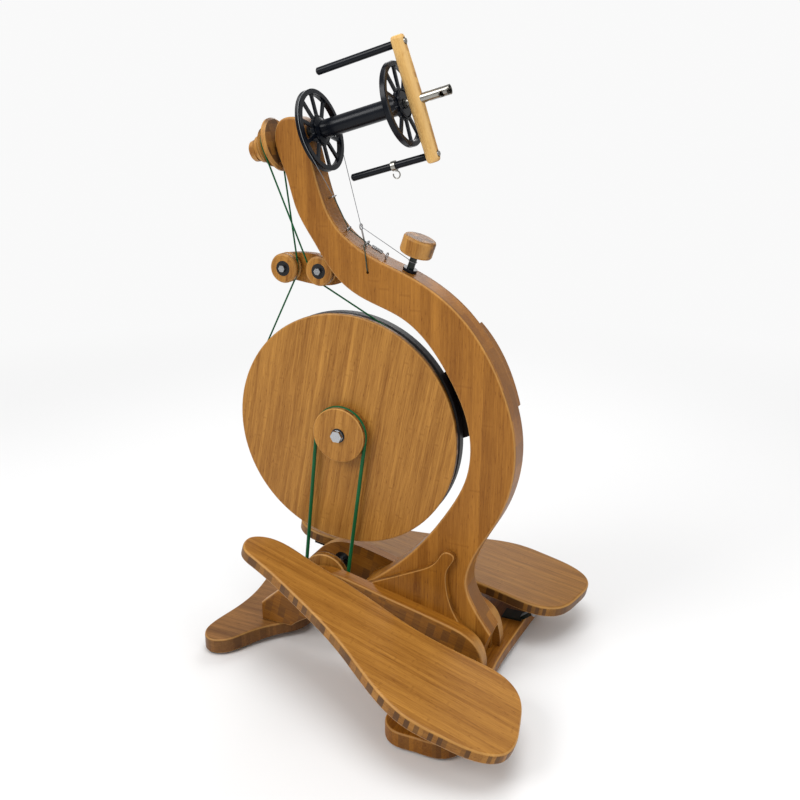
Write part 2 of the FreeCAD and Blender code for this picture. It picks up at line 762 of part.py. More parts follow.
def bobbinFlange(s, hub, grooved):
    """A rim and a hub joined by a thinner web with openings in it."""
    start = onAxis(s - flangeThick / 2)
    half = flangeThick / 2
    bottom = flangeR - grooveDepth
    if grooved:
        groove = [(half - 3.5, flangeR), (half - 0.7, bottom), (half + 0.7, bottom), (half + 3.5, flangeR)]
        rim = [(0, flangeR)] + groove + [(flangeThick, flangeR)]
    else:
        rim = [(0, flangeR - 1), (1, flangeR), (flangeThick - 1, flangeR), (flangeThick, flangeR - 1)]
    disc = turned(rim, start, flyerAxis)
    inner = flangeR - rimWidth
    for low, high in ((-1, half - webHalf), (half + webHalf, flangeThick + 1)):
        disc = disc.cut(tube(start + flyerAxis * low, start + flyerAxis * high, inner, hub + 1))
    for window in flangeWindows(s, hub + 2.5, inner - 0.5):
        disc = disc.cut(window)
    return disc


hubR = 19.0
flangeBackS = -146.5
flangeFrontS = -19.9


def bobbinCore():
    core = turned([(0, hubR - 3), (2, hubR - 1), (7, hubR - 1), (9, coreR), (125, coreR), (127, hubR - 1),
                   (132, hubR - 1), (134, hubR - 3)], onAxis(bobbinBack), flyerAxis)
    slot = Part.makeBox(26, 2.4, 8, V(-13, -1.2, 0))
    slot.Placement = FreeCAD.Placement(onAxis(-74, coreR - 3), FreeCAD.Rotation(V(0, 1, 0), -flyerTilt))
    return core.cut(slot).cut(rod(onAxis(bobbinBack), onAxis(bobbinFront), bobbinBore))


def flangeOnCore(s, grooved):
    return bobbinFlange(s, hubR - 1, grooved).cut(rod(onAxis(s - 9), onAxis(s + 9), hubR - 1))


nodes["bobbin_core"] = bobbinCore()
nodes["bobbin_flanges"] = Part.makeCompound([flangeOnCore(flangeBackS, True),
                                             flangeOnCore(flangeFrontS, False)])


# ---- brake ------------------------------------------------------------------
knobStart = 24.0
knobThick = 25.0
knobR = 23.0


def alongKnob(distance):
    return knobFoot + knobAxis * distance


nodes["brake_knob"] = turned(
    [(0, knobR - 3.5), (1, knobR - 1.2), (3.5, knobR), (knobThick - 3.5, knobR),
     (knobThick - 1, knobR - 1.2), (knobThick, knobR - 3.5)], alongKnob(knobStart), knobAxis).cut(
         rod(alongKnob(knobStart), alongKnob(knobStart + 14), knobScrewR))
nodes["knob_screw"] = rod(alongKnob(-24), alongKnob(knobStart + 14), knobScrewR)
bush = tube(alongKnob(-26), alongKnob(1), knobBushR, knobScrewR + runFit)
collar = tube(alongKnob(-6), alongKnob(4), knobBushR + 2.5, knobScrewR + runFit)
nodes["knob_bush"] = joined([bush, collar.cut(nodes["c_frame"])])


# Eyes along the neck's front edge: foot, and direction that they stand in.
eyeWire = 0.9
eyeR = 3.9
eyes = [(V(-22, 0, 697), V(0.93, 0, 0.37), 6.0), (V(3, 0, 652.5), V(0.68, 0, 0.733), 5.0),
        (V(33, 0, 633), V(0.485, 0, 0.874), 5.0), (V(63, 0, 618), V(0.356, 0, 0.934), 5.0),
        (V(29, 5, 635.5), V(-3.3, -5, 24.5), 25.2)]


def eyeCentre(foot, out, height):
    return foot + V(out).normalize() * height


def eyeScrew(foot, out, height):
    """A wire eye; the loop faces along the neck."""
    out = V(out).normalize()
    centre = eyeCentre(foot, out, height)
    facing = out.cross(across)
    shank = rod(foot - out * 12, centre - out * eyeR, eyeWire + 0.3)
    loop = bend(centre, facing, centre + out * eyeR, 360, eyeWire)
    return joined([shank, loop])


eyeScrews = [eyeScrew(*eye) for eye in eyes]
for screw in eyeScrews:
    nodes["c_frame"] = nodes["c_frame"].cut(screw)
nodes["line_eyes"] = Part.makeCompound(eyeScrews)
neckEye, firstEye, cordEye, _, guideEye = [eyeCentre(*eye) for eye in eyes]


def cordRun(points, radius):
    """A cord of straight runs, mitred where they meet."""
    edges = [Part.LineSegment(a, b).toShape() for a, b in zip(points, points[1:])]
    return alongPath(edges, points[0], points[1] - points[0], radius)


def alongPath(edges, start, heading, radius):
    """A round cord along a chain of straight and circular edges."""
    section = Part.Wire(Part.Circle(start, heading, radius).toShape())
    return Part.Wire(edges).makePipeShell([section], True, False, 1)


def grooveTangent(centre, radius, outside, side):
    """Where a line from a point below meets a groove circle on one side."""
    reach = -(outside - centre).dot(flyerUp)
    low = math.asin(radius / reach)
    return centre - flyerUp * (radius * math.sin(low)) + across * (side * radius * math.cos(low))


def overTop(centre, radius, start, end, cordRadius):
    """The arc over the top of a pulley on the flyer axis, from the far side to the near."""
    fromUp = math.degrees((start - centre).getAngle(flyerUp) + (end - centre).getAngle(flyerUp))
    return bend(centre, flyerAxis, start, fromUp, cordRadius)


def brakeLine():
    """Clear line: knob post, guide eye, over the back flange, and down to the neck eye."""
    centre = onAxis(flangeBackS)
    post = alongKnob(14) + V(-knobAxis.z, 0, knobAxis.x) * (knobScrewR + lineR + 0.3)
    far = grooveTangent(centre, linePath, guideEye, 1)
    near = grooveTangent(centre, linePath, neckEye, -1)
    ring = bend(alongKnob(14), knobAxis, post, 360, lineR)
    top = overTop(centre, linePath, far, near, lineR)
    up = cordRun([post, guideEye, far + (far - guideEye).normalize() * 0.9], lineR)
    down = cordRun([near + (near - neckEye).normalize() * 0.9, neckEye], lineR)
    return joined([top, up, down, ring])


nodes["brake_line"] = brakeLine()

springR = 2.6
springStart = V(42.5, 0, 633.8)
springEnd = V(58, 0, 626.2)


def brakeSpring():
    """A close-wound tension spring with a hook at each end."""
    along = (springEnd - springStart).normalize()
    length = (springEnd - springStart).Length
    turns = 14
    pitch = length / turns
    profile = []
    for i in range(turns):
        profile += [(i * pitch, springR - 0.5), (i * pitch + pitch / 2, springR)]
    profile.append((length, springR - 0.5))
    coil = turned(profile, springStart, along)
    hooks = [rod(springStart - along * 2.4, springStart, 0.6), rod(springEnd, springEnd + along * 5, 0.6)]
    return joined([coil] + hooks)


nodes["brake_spring"] = brakeSpring()
cordR = 0.8
neckCord = cordRun([neckEye + V(0.6, 0, -1), firstEye, cordEye, springStart - V(2.2, 0, -1)], cordR)
tailCord = cordRun([cordEye + V(0, -5.6, 0), V(38, -18, 636.5), V(42, -frameHalf - 1.2, 630),
                    V(45, -frameHalf - 1.2, 604), V(45, -frameHalf + 4, 601)], cordR)
nodes["c_frame"] = nodes["c_frame"].cut(rod(V(45, -frameHalf - 1, 601), V(45, -frameHalf + 5, 601), 2.0))
tailCord = tailCord.cut(nodes["c_frame"])
nodes["brake_cords"] = Part.makeCompound([neckCord, tailCord])


# ---- belts ------------------------------------------------------------------
def flat(point, y=0.0):
    return V(point[0], y, point[1])


def driveBand():
    """One loop: round the wheel, between the idlers, and a quarter twist over the whorl."""
    wheel = (0.0, axleZ)
    left = (idlerLeftX, idlerZ)
    right = (idlerRightX, idlerZ)
    centre = onAxis(whorlS)
    middle = V((idlerLeftX + idlerRightX) / 2, 0, idlerZ)
    far = grooveTangent(centre, whorlGroove, middle, 1)
    near = grooveTangent(centre, whorlGroove, middle, -1)
    wheelLeft, leftIn = tangentPoints(wheel, -bandPath, left, idlerPath)
    leftOut, _ = tangentPoints(left, idlerPath, (far.x, far.z), 0.0)
    _, rightIn = tangentPoints((near.x, near.z), 0.0, right, idlerPath)
    rightOut, wheelRight = tangentPoints(right, idlerPath, wheel, -bandPath)
    pieces = [
        flatArc(wheel, wheelRight, wheelLeft, -1, 0.0, bandR),
        cordRun([flat(wheelLeft), flat(leftIn)], bandR),
        flatArc(left, leftIn, leftOut, 1, 0.0, bandR),
        cordRun([flat(leftOut), far], bandR),
        overTop(centre, whorlGroove, far, near, bandR),
        cordRun([near, flat(rightIn)], bandR),
        flatArc(right, rightIn, rightOut, 1, 0.0, bandR),
        cordRun([flat(rightOut), flat(wheelRight)], bandR)]
    pieces += [Part.makeSphere(bandR, p) for p in (flat(leftOut), far, near, flat(rightIn))]
    return joined(pieces)


def treadleBelt():
    hub = (0.0, axleZ)
    low = (crankX, crankZ)
    lowRight, hubRight = tangentPoints(low, crankPath, hub, hubPath)
    hubLeft, lowLeft = tangentPoints(hub, hubPath, low, crankPath)
    return joined([
        cordRun([flat(lowRight, beltY), flat(hubRight, beltY)], beltR),
        flatArc(hub, hubRight, hubLeft, 1, beltY, beltR),
        cordRun([flat(hubLeft, beltY), flat(lowLeft, beltY)], beltR),
        flatArc(low, lowLeft, lowRight, 1, beltY, beltR)])


nodes["drive_band"] = driveBand()
nodes["treadle_belt"] = treadleBelt()


# ---- bolts through the base -------------------------------------------------
railBoltSpots = [(150, 48), (205, 44)]
boltHeadR = 7.0
boltHeadThick = 3.0
boltShankR = 3.0
boltSocketR = 2.6
boltSocketDepth = 1.8


def railBolts():
    bolts = []
    for x, z in railBoltSpots:
        for side in (-1, 1):
            face = V(x, side * railOut, z)
            under = V(x, side * (railOut - boltHeadThick), z)
            tip = V(x, side * (frameHalf - 15), z)
            bolt = rod(under, face, boltHeadR).fuse(rod(tip, under, boltShankR))
            bottom = V(x, side * (railOut - boltSocketDepth), z)
            bolts.append((bolt, rod(bottom, face, boltSocketR)))
    return bolts


baseBolts = railBolts()
for bolt, socket in baseBolts:
    for name in ("near_rail", "far_rail", "near_cheek", "far_cheek", "c_frame"):
        nodes[name] = nodes[name].cut(bolt)
nodes["rail_bolts"] = Part.makeCompound([bolt.cut(socket) for bolt, socket in baseBolts])


# ---- put the origin under the middle, on the floor, and write every piece ---
whole = Part.makeCompound(list(nodes.values())).BoundBox
shift = V(-(whole.XMin + whole.XMax) / 2, -(whole.YMin + whole.YMax) / 2, -whole.ZMin)
for name, shape in nodes.items():
    shape.translate(shift)
    shape.exportStep("parts/" + name + ".step")
print(len(nodes), "pieces, shift", shift)
print("not whole:", [name for name, shape in nodes.items() if not shape.isValid() or not shape.Solids])
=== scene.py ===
import math

import bpy
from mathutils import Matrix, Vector


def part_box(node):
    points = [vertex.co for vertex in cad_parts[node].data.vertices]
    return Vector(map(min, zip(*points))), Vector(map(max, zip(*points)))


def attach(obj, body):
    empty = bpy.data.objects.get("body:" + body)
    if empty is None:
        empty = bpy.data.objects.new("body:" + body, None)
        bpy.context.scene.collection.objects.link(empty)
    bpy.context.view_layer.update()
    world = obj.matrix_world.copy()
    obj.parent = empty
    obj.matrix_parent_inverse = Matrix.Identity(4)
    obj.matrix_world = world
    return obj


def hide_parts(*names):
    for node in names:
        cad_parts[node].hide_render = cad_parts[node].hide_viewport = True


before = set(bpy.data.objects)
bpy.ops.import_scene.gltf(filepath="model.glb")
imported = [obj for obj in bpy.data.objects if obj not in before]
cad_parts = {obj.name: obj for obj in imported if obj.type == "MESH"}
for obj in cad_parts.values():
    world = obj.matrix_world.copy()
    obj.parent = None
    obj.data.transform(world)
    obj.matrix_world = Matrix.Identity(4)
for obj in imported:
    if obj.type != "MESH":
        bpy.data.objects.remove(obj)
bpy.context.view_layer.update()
bpy.ops.object.select_all(action="DESELECT")
print("frame loaded:", len(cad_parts), "nodes")


# small helpers for shader trees

def addNode(tree, kind, **settings):
    node = tree.nodes.new("ShaderNode" + kind)
    for name, value in settings.items():
        setattr(node, name, value)
    return node


def plug(tree, target, value):
    if isinstance(value, bpy.types.NodeSocket):
        tree.links.new(value, target)
    else:
        target.default_value = value


def calc(tree, operation, first, second=0.0, third=0.0, clamp=False):
    node = addNode(tree, "Math", operation=operation, use_clamp=clamp)
    for socket, value in zip(node.inputs, (first, second, third)):
        plug(tree, socket, value)
    return node.outputs[0]


def vectorOf(tree, x=0.0, y=0.0, z=0.0):
    node = addNode(tree, "CombineXYZ")
    for socket, value in zip(node.inputs, (x, y, z)):
        plug(tree, socket, value)
    return node.outputs[0]


def partsOf(tree, vector):
    node = addNode(tree, "SeparateXYZ")
    tree.links.new(vector, node.inputs[0])
    return node.outputs


def band(tree, value, low, high, to0=0.0, to1=1.0):
    node = addNode(tree, "MapRange", interpolation_type="SMOOTHSTEP")
    for name, number in (("Value", value), ("From Min", low), ("From Max", high),
                         ("To Min", to0), ("To Max", to1)):
        plug(tree, node.inputs[name], number)
    return node.outputs["Result"]


def mixed(tree, amount, first, second):
    node = addNode(tree, "Mix", data_type="RGBA")
    plug(tree, node.inputs["Factor"], amount)
    plug(tree, node.inputs[6], first)
    plug(tree, node.inputs[7], second)
    return node.outputs[2]


def noise(tree, vector, scale, detail=3.0, rough=0.5):
    node = addNode(tree, "TexNoise")
    plug(tree, node.inputs["Vector"], vector)
    plug(tree, node.inputs["Scale"], scale)
    plug(tree, node.inputs["Detail"], detail)
    plug(tree, node.inputs["Roughness"], rough)
    return node.outputs["Fac"]


def random(tree, vector):
    node = addNode(tree, "TexWhiteNoise", noise_dimensions="3D")
    plug(tree, node.inputs["Vector"], vector)
    return node.outputs["Value"]


def newGroup(name, inputs, outputs):
    tree = bpy.data.node_groups.new(name, "ShaderNodeTree")
    for label, kind, value in inputs:
        socket = tree.interface.new_socket(label, in_out="INPUT", socket_type="NodeSocket" + kind)
        if value is not None:
            socket.default_value = value
    for label, kind in outputs:
        tree.interface.new_socket(label, in_out="OUTPUT", socket_type="NodeSocket" + kind)
    entry = tree.nodes.new("NodeGroupInput")
    leave = tree.nodes.new("NodeGroupOutput")
    return tree, entry.outputs, leave.inputs


# laminated bamboo, as a solid: strips side by side, glued in layers

board = {
    "stagger": 0.37,        # of a strip, from one layer to the next
    "wander": 0.003,        # how far a fibre strays sideways, metres
    "bow": 0.004,           # how far a knuckle line strays along, metres
    "knuckle": (0.0006, 0.0022), "halo": (0.002, 0.010),        # from the line's middle, metres
    "glueFrom": 0.93,       # of half a strip's width
    "edgeSkew": 0.75,       # how much the edge blocks lean over the grain
    # fibre sizes: cells a metre across and along the grain, detail, roughness
    "fibre": (1100.0, 34.0, 3.0, 0.65), "streak": (330.0, 12.0, 3.0, 0.6), "fleck": (700.0, 110.0, 2.0, 0.5),
    # how far each one moves the tone
    "fibreTone": 1.15, "streakTone": 0.95, "broadTone": 0.62, "fleckTone": 0.55,
}


def grainNoise(tree, side, through, along, kind):
    acrossScale, alongScale, detail, rough = board[kind]
    return noise(tree, vectorOf(tree, calc(tree, "MULTIPLY", side, acrossScale),
                                calc(tree, "MULTIPLY", through, acrossScale),
                                calc(tree, "MULTIPLY", along, alongScale)), 1.0, detail, rough)


def shiftTone(tree, depth, pattern, amount):
    return calc(tree, "MULTIPLY_ADD", calc(tree, "SUBTRACT", pattern, 0.5), amount, depth)


def makeBambooBoard():
    tree, given, made = newGroup("bambooBoard", [
        ("Place", "Vector", None), ("Facing", "Vector", None),
        ("Strip Width", "Float", 0.006), ("Layer Depth", "Float", 0.014),
        ("Knuckle Spacing", "Float", 0.24), ("Strip Contrast", "Float", 0.5),
        ("Block Length", "Float", 0.0065), ("Block Contrast", "Float", 0.6), ("Block Base", "Float", 0.25),
        ("Light Tone", "Color", (0.60, 0.32, 0.10, 1)), ("Dark Tone", "Color", (0.34, 0.14, 0.03, 1)),
        # the edge tone is a painted highlight colour for the rounded edges
        ("End Tone", "Color", (0.22, 0.10, 0.035, 1)), ("Edge Highlight Tone", "Color", (0.80, 0.52, 0.24, 1)),
    ], [("Color", "Color"), ("Roughness", "Float"), ("Height", "Float")])
    across, through, along = partsOf(tree, given["Place"])
    layer = calc(tree, "FLOOR", calc(tree, "DIVIDE", through, given["Layer Depth"]))
    stagger = calc(tree, "MULTIPLY", layer, board["stagger"])
    course = calc(tree, "ADD", calc(tree, "DIVIDE", across, given["Strip Width"]), stagger)
    strip = calc(tree, "FLOOR", course)
    tone = random(tree, vectorOf(tree, strip, layer, 3.0))
    start = random(tree, vectorOf(tree, strip, layer, 11.0))

    # long fibres inside each strip, and slow changes of tone along it
    drift = noise(tree, vectorOf(tree, 0.0, 0.0, calc(tree, "MULTIPLY", along, 9.0)), 1.0, 1.0)
    wander = calc(tree, "MULTIPLY_ADD", drift, board["wander"], across)
    fibre = grainNoise(tree, wander, through, along, "fibre")
    streak = grainNoise(tree, wander, through, along, "streak")
    broad = noise(tree, vectorOf(tree, calc(tree, "MULTIPLY", across, 34.0), through,
                                 calc(tree, "MULTIPLY", along, 2.6)), 1.0, 2.0, 0.5)
    fleck = grainNoise(tree, wander, through, along, "fleck")

    # a knuckle crosses each strip at its own height
    bowed = calc(tree, "MULTIPLY_ADD", fibre, board["bow"], along)
    turn = calc(tree, "ADD", calc(tree, "DIVIDE", bowed, given["Knuckle Spacing"]), start)
    offLine = calc(tree, "ABSOLUTE", calc(tree, "SUBTRACT", calc(tree, "FRACT", turn), 0.5))
    fromKnuckle = calc(tree, "MULTIPLY", offLine, given["Knuckle Spacing"])
    knuckle = band(tree, fromKnuckle, *board["knuckle"], 1.0, 0.0)
    halo = band(tree, fromKnuckle, *board["halo"], 1.0, 0.0)

    spread = calc(tree, "MULTIPLY", calc(tree, "SUBTRACT", tone, 0.5), given["Strip Contrast"])
    depth = calc(tree, "ADD", 0.5, spread)
    depth = shiftTone(tree, depth, fibre, board["fibreTone"])
    depth = shiftTone(tree, depth, streak, board["streakTone"])
    depth = shiftTone(tree, depth, broad, board["broadTone"])
    depth = calc(tree, "MULTIPLY_ADD", band(tree, fleck, 0.60, 0.78), board["fleckTone"], depth, clamp=True)
    colour = mixed(tree, depth, given["Light Tone"], given["Dark Tone"])
    colour = mixed(tree, calc(tree, "MULTIPLY", halo, 0.14), colour, given["Light Tone"])
    broken = calc(tree, "MULTIPLY", knuckle, calc(tree, "MULTIPLY", streak, 0.6))
    colour = mixed(tree, broken, colour, given["Dark Tone"])

    # glue lines between strips
    offMiddle = calc(tree, "ABSOLUTE", calc(tree, "SUBTRACT", calc(tree, "FRACT", course), 0.5))
    glue = band(tree, calc(tree, "MULTIPLY", offMiddle, 2.0), board["glueFrom"], 1.0)
    colour = mixed(tree, calc(tree, "MULTIPLY", glue, 0.16), colour, given["End Tone"])

    # the board's core shows at its edge as short blocks, some darker
    flatness = calc(tree, "ABSOLUTE", partsOf(tree, given["Facing"])[1])
    offFace = band(tree, flatness, 0.25, 0.6, 1.0, 0.0)
    leaning = calc(tree, "MULTIPLY_ADD", across, board["edgeSkew"], along)
    row = calc(tree, "FLOOR", calc(tree, "DIVIDE", leaning, given["Block Length"]))
    block = band(tree, random(tree, vectorOf(tree, row, layer, 5.0)), 0.1, 0.9)
    block = calc(tree, "MULTIPLY_ADD", block, given["Block Contrast"], given["Block Base"])
    colour = mixed(tree, calc(tree, "MULTIPLY", offFace, block), colour, given["End Tone"])

    # painted highlight: the lacquered round between a face and its edge is made paler, standing in for light
    # catching it
    roundHighlight = calc(tree, "MULTIPLY", band(tree, flatness, 0.18, 0.55),
                    band(tree, flatness, 0.80, 0.985, 1.0, 0.0))
    colour = mixed(tree, calc(tree, "MULTIPLY", roundHighlight, 0.34), colour, given["Edge Highlight Tone"])

    plug(tree, made["Color"], colour)
    plug(tree, made["Roughness"], calc(tree, "MULTIPLY_ADD", fibre, 0.16, 0.36))
    height = calc(tree, "SUBTRACT", calc(tree, "MULTIPLY", fibre, 0.5), calc(tree, "MULTIPLY", glue, 0.5))
    plug(tree, made["Height"], calc(tree, "SUBTRACT", height, calc(tree, "MULTIPLY", knuckle, 0.5)))
    return tree


# fine handling marks, for anything that isn't bamboo

def makeHandled():
    tree, given, made = newGroup("handledSurface", [
        ("Base Tone", "Color", (0.03, 0.03, 0.04, 1)), ("Worn Tone", "Color", (0.08, 0.08, 0.09, 1)),
        ("Rough", "Float", 0.4), ("Rough Change", "Float", 0.12), ("Speck Size", "Float", 600.0),
    ], [("Color", "Color"), ("Roughness", "Float"), ("Height", "Float")])
    place = addNode(tree, "TexCoord").outputs["Object"]
    speck = noise(tree, place, given["Speck Size"], 2.0)
    smear = noise(tree, place, 22.0, 3.0)
    worn = band(tree, smear, 0.45, 0.8)
    plug(tree, made["Color"], mixed(tree, worn, given["Base Tone"], given["Worn Tone"]))
    change = calc(tree, "MULTIPLY", calc(tree, "SUBTRACT", smear, 0.5), given["Rough Change"])
    plug(tree, made["Roughness"], calc(tree, "ADD", given["Rough"], change))
    plug(tree, made["Height"], speck)
    return tree


bambooBoard = makeBambooBoard()
handledSurface = makeHandled()


def startMaterial(name, group):
    material = bpy.data.materials.new(name)
    material.use_nodes = True
    tree = material.node_tree
    tree.nodes.clear()
    out = addNode(tree, "OutputMaterial")
    shader = addNode(tree, "BsdfPrincipled")
    tree.links.new(shader.outputs[0], out.inputs[0])
    effect = tree.nodes.new("ShaderNodeGroup")
    effect.node_tree = group
    return material, tree, shader, effect


def finishMaterial(tree, shader, effect, bump, distance):
    tree.links.new(effect.outputs["Color"], shader.inputs["Base Color"])
    tree.links.new(effect.outputs["Roughness"], shader.inputs["Roughness"])
    relief = addNode(tree, "Bump")
    relief.inputs["Strength"].default_value = bump
    relief.inputs["Distance"].default_value = distance
    tree.links.new(effect.outputs["Height"], relief.inputs["Height"])
    tree.links.new(relief.outputs["Normal"], shader.inputs["Normal"])


lacquer = {"coat": 0.05, "coatRough": 0.2, "specular": 0.2, "bump": 0.10, "bumpDepth": 0.0004}


def bambooFinish(name, grain, tones, stripWidth, layerDepth, contrast, slope=0.0, shift=(0, 0, 0),
                 paint=None):
    # grain is the axis that the strips run along; slope tips it about Y, in degrees; paint, when given, is
    # painted shade: a colour laid on the side facing -Y
    material, tree, shader, effect = startMaterial(name, bambooBoard)
    source = addNode(tree, "TexCoord")
    for label, kind, moved in (("Object", "Place", shift), ("Normal", "Facing", (0, 0, 0))):
        turned = addNode(tree, "Mapping", vector_type="POINT")
        turned.inputs["Location"].default_value = moved
        turned.inputs["Rotation"].default_value = (0, math.radians(slope), 0)
        tree.links.new(source.outputs[label], turned.inputs["Vector"])
        x, y, z = partsOf(tree, turned.outputs[0])
        order = {"up": (x, y, z), "along": (y, z, x), "across": (x, z, y)}[grain]
        tree.links.new(vectorOf(tree, *order), effect.inputs[kind])
    sizes = {"Strip Width": stripWidth, "Layer Depth": layerDepth, "Strip Contrast": contrast}
    for label, value in {**sizes, **tones}.items():
        effect.inputs[label].default_value = value
    shader.inputs["Coat Weight"].default_value = lacquer["coat"]
    shader.inputs["Coat Roughness"].default_value = lacquer["coatRough"]
    shader.inputs["Specular IOR Level"].default_value = lacquer["specular"]
    finishMaterial(tree, shader, effect, lacquer["bump"], lacquer["bumpDepth"])
    if paint:      # the side towards the wheel gets painted shade, near black, for the shadow in the gap between wheel and frame
        front = band(tree, partsOf(tree, source.outputs["Normal"])[1], -0.98, -0.9, 1.0, 0.0)
        plug(tree, shader.inputs["Base Color"], mixed(tree, front, effect.outputs["Color"], paint))
    return material


def plainFinish(name, base, worn, rough, metal=0.0, coat=0.0, bump=0.03, speck=600.0, specular=0.5):
    material, tree, shader, effect = startMaterial(name, handledSurface)
    effect.inputs["Base Tone"].default_value = (*base, 1)
    effect.inputs["Worn Tone"].default_value = (*worn, 1)
    effect.inputs["Rough"].default_value = rough
    effect.inputs["Speck Size"].default_value = speck
    shader.inputs["Metallic"].default_value = metal
    shader.inputs["Coat Weight"].default_value = coat
    shader.inputs["Specular IOR Level"].default_value = specular
    finishMaterial(tree, shader, effect, bump, 0.0002)
    return material


# finishes of this wheel

wheelTones = {"Light Tone": (0.52, 0.245, 0.048, 1), "Dark Tone": (0.20, 0.070, 0.008, 1),
              "End Tone": (0.060, 0.026, 0.010, 1), "Edge Highlight Tone": (0.68, 0.38, 0.12, 1)}
frameTones = {**wheelTones, "Light Tone": (0.43, 0.180, 0.026, 1), "Dark Tone": (0.19, 0.062, 0.005, 1),
              "End Tone": (0.17, 0.070, 0.018, 1), "Block Length": 0.031, "Block Contrast": 0.7,
              "Block Base": 0.05}
treadleTones = {**wheelTones, "Light Tone": (0.48, 0.222, 0.040, 1), "Block Length": 0.0068,
                "Block Contrast": 0.72, "Block Base": 0.12}
# painted shade: the far treadle's bamboo made darker, for the shadow it lies in under the wheel
farShadedTones = {**treadleTones, "Light Tone": (0.36, 0.160, 0.026, 1), "Dark Tone": (0.15, 0.058, 0.008, 1)}
# painted shade: a darker copy of the bamboo, for the shade on the rails' and cheeks' sides; the front foot
# uses it too
shadedBaseTones = {**wheelTones, "Light Tone": (0.39, 0.155, 0.016, 1), "Dark Tone": (0.15, 0.046, 0.003, 1),
             "Block Length": 0.012, "Block Contrast": 0.4, "Block Base": 0.1}
# painted shade: darker bamboo for the back foot, standing in for the lower light it sits in
backFootShadedTones = {**wheelTones, "Light Tone": (0.30, 0.135, 0.035, 1), "Dark Tone": (0.12, 0.046, 0.009, 1),
             "Block Contrast": 0.3, "Block Base": 0.15}
barTones = {"Light Tone": (0.86, 0.56, 0.20, 1), "Dark Tone": (0.60, 0.32, 0.09, 1),
            "End Tone": (0.36, 0.17, 0.05, 1), "Edge Highlight Tone": (0.80, 0.52, 0.22, 1)}
# painted shade: near black for the wheel arm's side that faces the wheel, standing in for the shadow there
armPaintedShade = (0.012, 0.008, 0.007, 1)

# grain, tones, strip width, layer depth, contrast between strips, and where the pattern is tipped or moved,
# or painted shade laid on
bambooLooks = {
    "frameBamboo": ("up", frameTones, 0.0155, 0.0141, 0.5, {}),
    "cheekBamboo": ("up", shadedBaseTones, 0.012, 0.0141, 0.36, {"shift": (0.006, 0, 0.11)}),
    "armBamboo": ("up", frameTones, 0.019, 0.0141, 0.42, {"paint": armPaintedShade}),
    "wheelBamboo": ("up", wheelTones, 0.0062, 0.02, 0.26, {"slope": -11}),
    "treadleNear": ("along", treadleTones, 0.0064, 0.5, 0.3, {"slope": -17.3}),
    "treadleFar": ("along", farShadedTones, 0.0064, 0.5, 0.3, {"slope": -9.9, "shift": (0.07, 0.031, 0)}),
    "railBamboo": ("along", shadedBaseTones, 0.0102, 0.019, 0.4, {"slope": -14}),
    "footBamboo": ("along", backFootShadedTones, 0.0064, 0.5, 0.4, {}),
    "barBamboo": ("across", shadedBaseTones, 0.0064, 0.5, 0.4, {}),
    "turnedBamboo": ("up", wheelTones, 0.0055, 0.012, 0.4, {"slope": -8, "shift": (0.013, 0.004, 0.05)}),
    "goldenBar": ("up", barTones, 0.006, 0.03, 0.2, {"slope": 15.7}),
}

# colour, worn colour, roughness, and what else differs
plainLooks = {
    "charcoalCore": ((0.012, 0.010, 0.013), (0.026, 0.023, 0.029), 0.5,
                     {"bump": 0.25, "speck": 900.0, "specular": 0.35}),
    "blackMoulded": ((0.0022, 0.0034, 0.0065), (0.005, 0.007, 0.012), 0.25, {"specular": 0.2}),
    "blackMetal": ((0.006, 0.012, 0.010), (0.014, 0.022, 0.018), 0.32, {"specular": 0.35}),
    "padRubber": ((0.015, 0.015, 0.015), (0.03, 0.03, 0.03), 0.75, {"bump": 0.2}),
    "bearingShield": ((0.006, 0.006, 0.007), (0.016, 0.016, 0.018), 0.3, {"specular": 0.35}),
    "zincSteel": ((0.42, 0.43, 0.44), (0.30, 0.30, 0.31), 0.28, {"metal": 1.0}),
    "polishedSteel": ((0.34, 0.33, 0.30), (0.26, 0.25, 0.23), 0.24, {"metal": 1.0}),
    "greenBelt": ((0.002, 0.088, 0.026), (0.004, 0.12, 0.038), 0.34, {"coat": 0.1, "specular": 0.15}),
    "clearLine": ((0.20, 0.21, 0.22), (0.30, 0.31, 0.32), 0.2, {"specular": 0.3}),
    "darkCord": ((0.016, 0.040, 0.026), (0.028, 0.060, 0.040), 0.7, {"bump": 0.4, "speck": 1800.0}),
}

finishes = {}
for name, (*looks, placing) in bambooLooks.items():
    finishes[name] = bambooFinish(name, *looks, **placing)
for name, (*looks, extras) in plainLooks.items():
    finishes[name] = plainFinish(name, *looks, **extras)
print("finishes made:", len(finishes))

